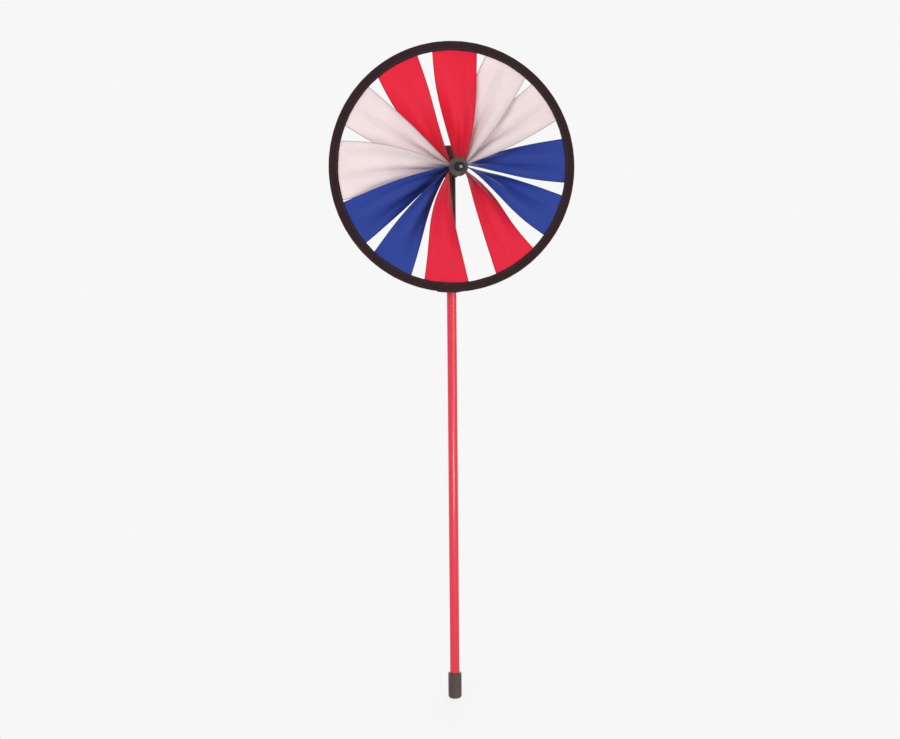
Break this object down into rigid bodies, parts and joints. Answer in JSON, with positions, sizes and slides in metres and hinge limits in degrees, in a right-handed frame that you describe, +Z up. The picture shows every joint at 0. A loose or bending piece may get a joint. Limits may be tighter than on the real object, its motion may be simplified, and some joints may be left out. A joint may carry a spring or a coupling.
{
  "type": "pinwheel",
  "caption": "Stake pinwheel: a hooped cloth wheel of red, white and blue petals that spins freely on a pin through the head of a capped tube.",
  "frame": {"origin": "centre of the stake tube's lower end, where the foot cap's straight wall begins", "axes": "+Z up the stake; the wheel's axle lies along Y and the wheel faces -Y; +X to the right as seen from the front"},
  "size_m": [0.2032, 0.0578, 0.549],
  "materials": {
    "red_tube": "glossy red plastic skin on a tube",
    "black_tube": "satin black tube",
    "black_vinyl": "satin black-brown soft vinyl",
    "black_plastic": "satin moulded black plastic",
    "hidden_plastic": "plain plastic, hidden",
    "steel": "bright steel",
    "hoop_fibreglass": "pale fibreglass, hidden",
    "black_cloth": "black-brown woven polyester tape",
    "red_cloth": "plain-woven ripstop-weight polyester, red",
    "white_cloth": "plain-woven ripstop-weight polyester, white",
    "blue_cloth": "plain-woven ripstop-weight polyester, blue"
  },
  "bodies": {
    "stake": {"bottom_cap": "black_vinyl", "pole": "red_tube", "pole_joiner": "hidden_plastic", "neck_tube": "black_tube", "head_cap": "black_vinyl", "axle_pin": "steel", "rear_spacer": "black_plastic", "front_washer": "black_plastic", "nose_knob": "black_plastic"},
    "wheel": {"rear_hub": "black_plastic", "hub_sleeve": "black_plastic", "hub_collar": "black_cloth", "front_hub": "black_plastic", "hoop_rod": "hoop_fibreglass", "hoop_ferrule": "steel", "rim_binding": "black_cloth", "petal_01_red": "red_cloth", "petal_02_white": "white_cloth", "petal_03_white": "white_cloth", "petal_04_blue": "blue_cloth", "petal_05_blue": "blue_cloth", "petal_06_red": "red_cloth", "petal_07_red": "red_cloth", "petal_08_blue": "blue_cloth", "petal_09_blue": "blue_cloth", "petal_10_white": "white_cloth", "petal_11_white": "white_cloth", "petal_12_red": "red_cloth"}
  },
  "joints": [
    {"name": "wheel_spin", "type": "hinge", "parent": "stake", "child": "wheel", "pos_m": [0, 0, 0.445], "axis": [0, -1, 0], "continuous": true}
  ]
}
